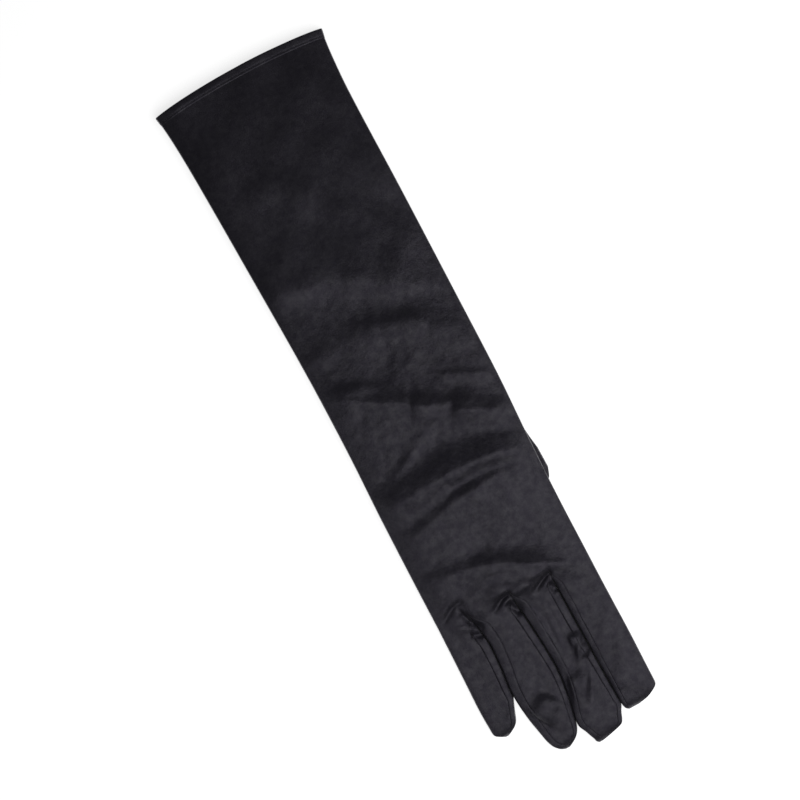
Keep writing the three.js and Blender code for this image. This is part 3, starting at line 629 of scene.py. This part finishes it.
def patch(f, y, part, shares):
    """One part of finger f's section for every y in a column of rows. shares runs from 0 to 1 round the
    part, in the sense: upper panel, right side, lower panel, left side. A panel runs straight across from
    seam to seam. A side is two quarters of an ellipse, one down from the upper panel to the widest point
    and one from there to the lower panel."""
    y = np.asarray(y, float)[:, None]
    b = borders(f, y)
    t = np.asarray(shares, float)[None, :]
    y = y + 0 * t
    inner_left, inner_right = b["left"] + b["left_bend"], b["right"] - b["right_bend"]
    spans = {
        "upper": (b["left_seam"], b["right_seam"], upper_patch),
        "upper_right": (b["right_seam"], inner_right, upper_patch),
        "upper_left": (inner_left, b["left_seam"], upper_patch),
        "lower": (b["right_low"], b["left_low"], lower_patch),
        "lower_right": (b["right"] - b["right_under"], b["right_low"], lower_patch),
        "lower_left": (b["left_low"], b["left"] + b["left_under"], lower_patch),
    }
    if part in spans:
        start, end, make = spans[part]
        return make(f, start + (end - start) * t, y, b)
    outward, turn = (1, math.pi * (0.5 - t)) if part == "right" else (-1, math.pi * (t - 0.5))
    edge, above, below = b[part], b[part + "_bend"], b[part + "_under"]
    outer = b["outer"] == part
    top = upper_patch(f, edge - outward * above + 0 * t, y, b)[..., 2]
    bottom = lower_patch(f, edge - outward * below + 0 * t, y, b)[..., 2]
    level = bottom + (top - bottom) * (EDGE_LEVEL if outer else 0.5)
    skew = 0 if outer else SIDE_SKEW * outward
    depth = np.where(turn > 0, above, below)
    height = np.where(turn > 0, top - level, level - bottom)
    x = edge - outward * depth * (1 - np.cos(turn - skew * np.cos(turn)))
    return np.stack([x, y - bow(x, y), level + height * np.sin(turn)], -1)


def near_ends(count, pull=0.55):
    """Shares from 0 to 1 that lie closer together near both ends: even steps less a sine wave."""
    t = np.linspace(0, 1, count + 1)
    return t - pull * np.sin(math.tau * t) / math.tau


# %% [markdown]
# ## From grids to a mesh
# One grid for the whole glove couldn't branch into fingers. So the mesh is sewn from panels, as the glove is:
# the patches of one piece share their border points, and merging points that coincide sews them together.

# %% Building a mesh from patches
SAME_PLACE = 0.000001  # metres within which two points are one


def mesh_from(name, patches, caps=()):
    """A mesh object from grids of points in the glove frame, with coinciding points merged. caps are rings
    of points that are closed with one face."""
    points, faces, start = [], [], 0
    for grid in patches:
        rows, columns = grid.shape[:2]
        index = start + np.arange(rows * columns).reshape(rows, columns)
        corners = [index[:-1, :-1], index[:-1, 1:], index[1:, 1:], index[1:, :-1]]
        faces.append(np.stack(corners, -1).reshape(-1, 4))
        points.append(grid.reshape(-1, 3))
        start += rows * columns
    faces = np.concatenate(faces).tolist()
    for ring in caps:
        points.append(ring)
        faces.append(list(range(start, start + len(ring))))
        start += len(ring)
    points = (np.concatenate(points) + SHIFT) * MM
    mesh = bpy.data.meshes.new(name)
    mesh.from_pydata(points.tolist(), [], faces)
    work = bmesh.new()
    work.from_mesh(mesh)
    bmesh.ops.remove_doubles(work, verts=work.verts, dist=SAME_PLACE)
    bmesh.ops.dissolve_degenerate(work, edges=work.edges, dist=SAME_PLACE)
    work.to_mesh(mesh)
    work.free()
    mesh.shade_smooth()
    print(name, len(mesh.vertices), "points,", len(mesh.polygons), "faces")
    return place_in_scene(name, mesh)


def thicken(piece, thickness):
    """Gives a skin of cloth its thickness, inwards."""
    solidify = piece.modifiers.new("cloth", "SOLIDIFY")
    solidify.thickness = thickness * MM
    solidify.offset = -1
    return piece


# %% [markdown]
# ## The body of the glove
# Sleeve, hand and the panels of the fingers are one piece of satin. An even grid would lose the creases or
# waste points on the plain sleeve, so the rows lie 2 mm apart there and under 1 mm apart among the folds.

# %% Rows and columns
PANEL = near_ends(19)
LOWER_PANEL = near_ends(8)
ROUND = np.linspace(0, 1, 9)
STRIP = np.linspace(0, 1, 5)
hand_rows = np.concatenate([
    np.arange(3.0, 88, 2.2), np.arange(88, 150, 1.2), np.arange(150, 290, 0.95),
    np.linspace(290, SLEEVE_LENGTH, 7),
])


def finger_rows(f):
    """Rows of a finger: close together at the crotch and at the tip."""
    tip = SLEEVE_LENGTH + FINGERS[f]["length"]
    return np.concatenate([
        np.linspace(SLEEVE_LENGTH, SLEEVE_LENGTH + 4, 9)[:-1],
        np.arange(SLEEVE_LENGTH + 4, tip - 5, 1.0),
        tip - 5 * (1 - np.linspace(0, 1, 13)) ** 1.6,
    ])


print(len(hand_rows), "rows on the hand,", [len(finger_rows(f)) for f in range(4)], "on the fingers")

# %% [markdown]
# The four fingers' patches run on down the hand to the cuff, side by side, and share their borders there.
# Each fingertip is closed with one ring of points. The patches are a skin without thickness. The Solidify
# modifier gives it the cloth's, inwards, so that the outline stays where it is.

# %% The body piece
TIP_ORDER = [
    ("upper", PANEL), ("upper_right", STRIP), ("right", ROUND), ("lower_right", STRIP),
    ("lower", LOWER_PANEL), ("lower_left", STRIP), ("left", ROUND), ("upper_left", STRIP),
]
body_patches, tip_rings = [], []
for f, finger in enumerate(FINGERS):
    for rows in (hand_rows, finger_rows(f)):
        body_patches.append(patch(f, rows, "upper", PANEL))
        body_patches.append(patch(f, rows, "lower", LOWER_PANEL))
        if finger["outer"]:
            body_patches.append(patch(f, rows, finger["outer"], ROUND))
    last = finger_rows(f)[-1:]
    tip_rings.append(np.concatenate([patch(f, last, part, shares)[0, :-1] for part, shares in TIP_ORDER]))
body = thicken(mesh_from("glove_body", body_patches, tip_rings), CLOTH)

# %% [markdown]
# ## The strips between the fingers
# Each strip is one band of cloth that turns at the crotch: up one finger's side and down its neighbour's. A
# band swept along a path would have to be fitted to the panels, so it is made from the same borders as they
# are, and meets them at the seams by itself.

# %% The strip pieces
BAND = [
    (0, "upper_right", STRIP), (0, "right", ROUND), (0, "lower_right", STRIP),
    (1, "lower_left", STRIP), (1, "left", ROUND), (1, "upper_left", STRIP),
]
strips = {}
for f, name in enumerate(["index_middle", "middle_ring", "ring_little"]):
    sides = [patch(f + side, finger_rows(f + side), part, shares) for side, part, shares in BAND]
    strips[name] = thicken(mesh_from("strip_" + name, sides), CLOTH)

# %% [markdown]
# ## The hem
# The cloth is turned in at the cuff and stitched down. It could be folded in the body's own mesh, but a piece
# of its own can have a finer profile. That profile goes from the seam over the outside, round the edge and
# back along the inside, and is carried round the sleeve's cross-section.

# %% The hem's profile and ring
HEM_PROFILE = [  # distance from the cuff's edge, and how far out of the sleeve's surface
    (5.2, -0.25), (5.1, -0.02), (4.8, 0.1), (4.3, 0.18), (3.9, 0.13), (3.5, 0.24), (2.8, 0.32), (1.8, 0.4),
    (0.8, 0.46), (0.35, 0.46), (0.1, 0.36), (0.0, 0.1), (0.0, -0.5), (0.15, -0.9), (1.0, -1.05), (2.5, -1.1),
    (5.4, -1.1), (5.2, -0.25),
]


def sleeve_ring(y):
    """The sleeve's cross-section at y as one closed ring of points, and its outward normals, which are at
    right angles to the line from each point's neighbour to the next."""
    order = [(f, "upper", PANEL) for f in (0, 1, 2, 3)] + [(3, "right", ROUND)]
    order += [(f, "lower", near_ends(12)) for f in (3, 2, 1, 0)] + [(0, "left", ROUND)]
    ring = np.concatenate([patch(f, [y], part, shares)[0, :-1] for f, part, shares in order])
    along = np.roll(ring, -1, 0) - np.roll(ring, 1, 0)
    normal = np.stack([-along[:, 2], 0 * along[:, 2], along[:, 0]], -1)
    normal = normal / np.linalg.norm(normal, axis=1, keepdims=True)
    return ring, normal


def closed(ring):
    """The ring with its first row once more at the end."""
    return np.concatenate([ring, ring[:1]])


hem_rows = []
for y, out in HEM_PROFILE[::-1]:
    ring, normal = sleeve_ring(y)
    ring = ring + normal * out
    ring[:, 2] = np.maximum(ring[:, 2], 0.0)
    hem_rows.append(closed(ring))
hem = mesh_from("glove_hem", [np.array(hem_rows)])


# %% [markdown]
# ## The hem's stitches
# A row of short stitches holds the hem down, 4 mm from the edge. A bump could stand for them, but their
# shadows show when the hem is seen from close by. Each is a small capsule laid along the cross-section, half
# sunk in the groove.

# %% Stitches
STITCH_LINE, STITCH_RISE = 3.9, 0.16  # distance from the cuff's edge, and height over the sleeve's surface


def stitch_row(y, out, spacing=2.6, length=1.8, radius=0.17):
    """Capsules of thread along the ring at y: each a tube whose radius is that of an ellipse along it."""
    ring, normal = sleeve_ring(y)
    ring, normal = closed(ring + normal * out), closed(normal)
    run = np.concatenate([[0], np.cumsum(np.linalg.norm(np.diff(ring, axis=0), axis=1))])
    count = int(run[-1] / spacing)
    along = np.linspace(-1, 1, 7)
    grids = []
    for middle in (np.arange(count) + 0.5) * run[-1] / count:
        at = middle + along * length / 2
        line = np.stack([np.interp(at, run, ring[:, i]) for i in range(3)], -1)
        line[:, 2] = np.maximum(line[:, 2], radius)
        out_way = np.stack([np.interp(at, run, normal[:, i]) for i in range(3)], -1)
        turn = np.linspace(0, math.tau, 7)[None, :, None]
        girth = (radius * np.sqrt(np.maximum(1 - along**2, 0)))[:, None, None]
        side = np.array([0.0, 1.0, 0.0])
        ring_points = np.cos(turn) * side + np.sin(turn) * out_way[:, None, :]
        grids.append(line[:, None, :] + girth * ring_points)
    return grids


stitches = mesh_from("hem_stitches", stitch_row(STITCH_LINE, STITCH_RISE))


# %% [markdown]
# ## The thumb
# The thumb lies flat under the palm, with its base folded over at the hand's edge. Only that fold shows. Its
# sections run across the hand, so that the fold is simply where they start, and pleats spread out from it on
# the side that lies on the table.

# %% The thumb piece
THUMB_CROWN = 0.45  # how much thicker the thumb is in the middle than at its sides
THUMB_FOLDS = [
    (0.5, 2, 2, (-20, 222), (-30, 219), (-40, 216)),
    (0.5, 2, 2, (-14, 236), (-28, 232), (-41, 230)),
    (0.45, 2, 2, (-12, 250), (-28, 245), (-40, 241)),
    (0.4, 2.5, 2.5, (14, 268), (2, 258), (-8, 254)),
]


def thumb_patch(at, part, shares):
    """One part of the thumb's section at each share of its reach: flat below, crowned above, with rounded
    sides, and thinning to nothing at both ends."""
    at = np.asarray(at, float)[:, None]
    t = np.asarray(shares, float)[None, :]
    half, middle = thumb_half(at), thumb_middle(at)
    from_base = np.minimum(1, at * THUMB_REACH / THUMB_FOLD)
    from_tip = np.minimum(1, (1 - at) * THUMB_REACH / (TIP_ROUNDING / 2))
    flat = np.sqrt(1 - 0.99 * (1 - from_base) ** 2) * np.sqrt(1 - 0.99 * (1 - from_tip) ** 2)
    bend = np.minimum(EDGE_BEND, half * 0.6) * flat
    x = THUMB_BASE + at * THUMB_REACH + 0 * t

    def point(y, top):
        crown = EDGE - 0.1 + THUMB_CROWN * (1 - np.abs((y - middle) / half) ** 4) if top else 0 * y
        pleat = 0 if top else np.maximum(strokes(x, y, THUMB_FOLDS), 0)
        z = EDGE / 2 + (crown + pleat - EDGE / 2) * flat
        return np.stack([x, y, np.maximum(z, OFF_TABLE)], -1)

    reach = half - bend
    if part == "upper":
        return point(middle + reach * (1 - 2 * t), True)
    if part == "lower":
        return point(middle - reach * (1 - 2 * t), False)
    outward = 1 if part == "tipward" else -1
    turn = math.pi * (t - 0.5) if outward > 0 else math.pi * (0.5 - t)
    y = middle + outward * reach + 0 * t
    top, bottom = point(y, True), point(y, False)
    level, tall = (top[..., 2] + bottom[..., 2]) / 2, (top[..., 2] - bottom[..., 2]) / 2
    return np.stack([x, y + outward * bend * np.cos(turn), level + tall * np.sin(turn)], -1)


thumb_rows = np.concatenate([
    np.linspace(0, 0.06, 13)[:-1], np.linspace(0.06, 0.9, 60), np.linspace(0.9, 1, 14)[1:],
])
around = [("upper", near_ends(24)), ("cuffward", ROUND), ("lower", near_ends(24)), ("tipward", ROUND)]
thumb_patches = [thumb_patch(thumb_rows, part, shares) for part, shares in around]
ends = [np.concatenate([grid[row, :-1] for grid in thumb_patches]) for row in (0, -1)]
thumb = mesh_from("glove_thumb", thumb_patches, [ends[0][::-1], ends[1]])


# %% [markdown]
# ## Satin
# Stretch satin has a smooth face of long floating threads: black, with a soft wide sheen, and so fine that
# the threads only show as a grain. Nodes work out such a finish, but a tree of them is hard to read, so
# shader maths is written as Python expressions on a wrapped socket.

# %% A socket that can be calculated with
def feed(tree, slot, value):
    """Links a wrapped socket to a slot, or sets the slot's own value."""
    if isinstance(value, Value):
        tree.links.new(value.socket, slot)
    else:
        slot.default_value = value


class Value:
    """A number that comes out of a node. Operators add Math nodes to its tree."""

    def __init__(self, tree, socket):
        self.tree, self.socket = tree, socket

    def _math(self, operation, a, b):
        made = self.tree.nodes.new("ShaderNodeMath")
        made.operation = operation
        for slot, value in zip(made.inputs, (a, b)):
            feed(self.tree, slot, value)
        return Value(self.tree, made.outputs[0])

    def __add__(self, other):
        return self._math("ADD", self, other)

    def __mul__(self, other):
        return self._math("MULTIPLY", self, other)

    def __sub__(self, other):
        return self._math("SUBTRACT", self, other)

    def __rsub__(self, other):
        return self._math("SUBTRACT", other, self)

    __radd__, __rmul__ = __add__, __mul__


def node(tree, kind, settings=None, output=0, **sockets):
    """Adds a node of that kind, sets its settings, then its sockets' values or links."""
    made = tree.nodes.new("ShaderNode" + kind)
    for key, value in (settings or {}).items():
        if key == "stops":
            for stop, (place, colour) in zip(made.color_ramp.elements, value):
                stop.position, stop.color = place, (*colour, 1)
        else:
            setattr(made, key, value)
    for key, value in sockets.items():
        feed(tree, made.inputs[key.replace("_", " ")], value)
    return Value(tree, made.outputs[output])


# %% [markdown]
# A picture of cloth could be wrapped round the glove, but it would blur from close by. Noise and waves on the
# piece's own coordinates stay sharp. Fine noise and ribs stand for the threads, a broader noise for the
# mottled look of handled satin. The grain is weak on the smooth cuff and strong where the glove was worn, and
# a thin coat that comes and goes gives the satin its patchy gleam.

# %% The satin material
DARKEST, LIGHTEST = 0.72, 1.28  # of the cloth's colour, in its mottling
GRAIN_DEPTH = 0.0004  # metres
WORN_Y = (-0.09, -0.02)  # metres in the row's frame between which the worn grain comes in
WORN_GRAIN = (0.5, 2.6)  # strength of the grain at the cuff and on the worn part


def satin(name, colour, roughness, grain=1.0):
    """Black satin: dark ground colour, wide sheen, a fine grain of threads and a faint mottling. Its height
    is the sum of threads, ribs and mottling, times how worn it is."""
    material = bpy.data.materials.new(name)
    material.use_nodes = True
    tree = material.node_tree
    tree.nodes.clear()
    place = node(tree, "TexCoord", output="Object")
    along = node(tree, "SeparateXYZ", output="Y", Vector=place)
    mottle = node(tree, "TexNoise", Vector=place, Scale=420.0, Detail=3.0, Roughness=0.6)
    cloud = node(tree, "TexNoise", Vector=place, Scale=38.0, Detail=2.0)
    threads = node(tree, "TexNoise", Vector=place, Scale=1500.0, Detail=2.0, Roughness=0.7)
    ribs = node(tree, "TexWave", {"wave_type": "BANDS", "bands_direction": "X"}, output="Fac",
                Vector=place, Scale=700.0, Distortion=1.2, Detail=1.0)
    worn = node(tree, "MapRange", Value=along, From_Min=WORN_Y[0], From_Max=WORN_Y[1],
                To_Min=WORN_GRAIN[0], To_Max=WORN_GRAIN[1])
    height = (threads * 0.5 + ribs * 0.35 + mottle * 1.6) * worn
    bump = node(tree, "Bump", Height=height, Strength=0.3 * grain, Distance=GRAIN_DEPTH)
    tint = mottle * 0.5 + cloud * 0.5
    dark = tuple(c * DARKEST for c in colour)
    light = tuple(c * LIGHTEST for c in colour)
    shade = node(tree, "ValToRGB", {"stops": [(0.3, dark), (0.7, light)]}, Fac=tint)
    gleam = node(tree, "TexNoise", Vector=place, Scale=260.0, Detail=4.0, Roughness=0.62)
    shader = node(tree, "BsdfPrincipled", Base_Color=shade, Normal=bump,
                  Roughness=mottle * 0.12 + (roughness - 0.06), Coat_Weight=gleam * 1.3 - 0.5,
                  Coat_Roughness=roughness, Specular_IOR_Level=0.45, Specular_Tint=(0.87, 0.81, 1.0, 1),
                  Sheen_Weight=0.06, Sheen_Roughness=0.4)
    out = tree.nodes.new("ShaderNodeOutputMaterial")
    tree.links.new(shader.socket, out.inputs["Surface"])
    print(name, len(tree.nodes), "nodes")
    return material


BLACK = (0.0104, 0.0098, 0.0136)
satin_face = satin("satin_face", BLACK, 0.39)
satin_strip = satin("satin_strip", (0.01, 0.0094, 0.013), 0.41)
thread = satin("hem_thread", BLACK, 0.55, 0.5)

# %% [markdown]
# ## Setting the pieces in the frame
# The glove is one body, so every piece rides on its root. A piece replaces the solids whose place it takes,
# which are then hidden. They could stay and be dressed, but the real satin runs on where the solids have a
# gap, so pieces of cloth were chosen. The stitches are too fine to be solids and replace none.

# %% Riding, replacing and finishing
dressed = [
    (body, satin_face, ["sleeve", "hand"] + ["finger_" + finger["name"] for finger in FINGERS], "satin"),
    (thumb, satin_face, ["thumb"], "satin"),
    (hem, satin_face, ["cuff_hem"], "satin"),
    (stitches, thread, [], "satin"),
]
dressed += [(strip, satin_strip, ["fourchette_" + name], "strip") for name, strip in strips.items()]
for piece, material, nodes, slot in dressed:
    piece.data.materials.append(material)
    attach(piece, "root")
    if nodes:
        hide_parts(*nodes)
    print(piece.name, "stands for", nodes)

# %% [markdown]
# ## Floor and light
# The glove lies on plain white paper. Paper that is only lit gets grey where the light falls off, so it also
# glows a little by itself, and only a soft shadow is left beside the glove.

# %% The floor
FLOOR_HALF = 3.0  # metres
FLOOR_GLOW = 0.75
floor_mesh = bpy.data.meshes.new("floor")
corners = [(x * FLOOR_HALF, y * FLOOR_HALF, 0) for x, y in ((-1, -1), (1, -1), (1, 1), (-1, 1))]
floor_mesh.from_pydata(corners, [], [(0, 1, 2, 3)])
floor = place_in_scene("floor", floor_mesh)
paper = bpy.data.materials.new("white_paper")
paper.use_nodes = True
looks = {"Base Color": (0.9, 0.9, 0.9, 1), "Roughness": 0.9, "Specular IOR Level": 0.0,
         "Emission Color": (1, 1, 1, 1), "Emission Strength": FLOOR_GLOW}
for socket, value in looks.items():
    paper.node_tree.nodes["Principled BSDF"].inputs[socket].default_value = value
floor_mesh.materials.append(paper)
print("floor", 2 * FLOOR_HALF, "m wide")


# %% [markdown]
# Satin shows its folds by what it mirrors. Several lamps could be balanced against one another, but one large
# soft light does it all. It hangs over the hand and the thumb's side, and its edge ends over the sleeve, so
# slopes that face the fingertips are bright, and those that face the cuff are dark, as the cuff itself is.

# %% The light
LIGHT_PLACE, LIGHT_AIM = (-0.35, 0.255, 0.5), (-0.35, 0.245, 0.0)  # metres
LIGHT_SIZE, LIGHT_POWER = (1.15, 0.65), 2.8
SURROUND = 0.1  # strength of the even light from all around


def softbox(name, place, aim, size, power):
    """A rectangular area light at a place, turned so that its own z axis points from aim to place."""
    place, aim = np.array(place, float), np.array(aim, float)
    z = (place - aim) / np.linalg.norm(place - aim)
    x = np.cross([0.0, 1.0, 0.0], z)
    x = x / np.linalg.norm(x)
    data = bpy.data.lights.new(name, "AREA")
    data.shape, data.size, data.size_y = "RECTANGLE", size[0], size[1]
    data.energy = power
    light = place_in_scene(name, data)
    light.matrix_world = axes_matrix(x, np.cross(z, x), z, place)
    light.visible_camera = False
    print(name, size, "m wide,", power, "W")


softbox("key", LIGHT_PLACE, LIGHT_AIM, LIGHT_SIZE, LIGHT_POWER)
world = bpy.data.worlds.new("studio")
bpy.context.scene.world = world
world.use_nodes = True
surround = world.node_tree.nodes["Background"]
surround.inputs["Color"].default_value = (1, 1, 1, 1)
surround.inputs["Strength"].default_value = SURROUND
bpy.context.scene.view_settings.view_transform = "Standard"
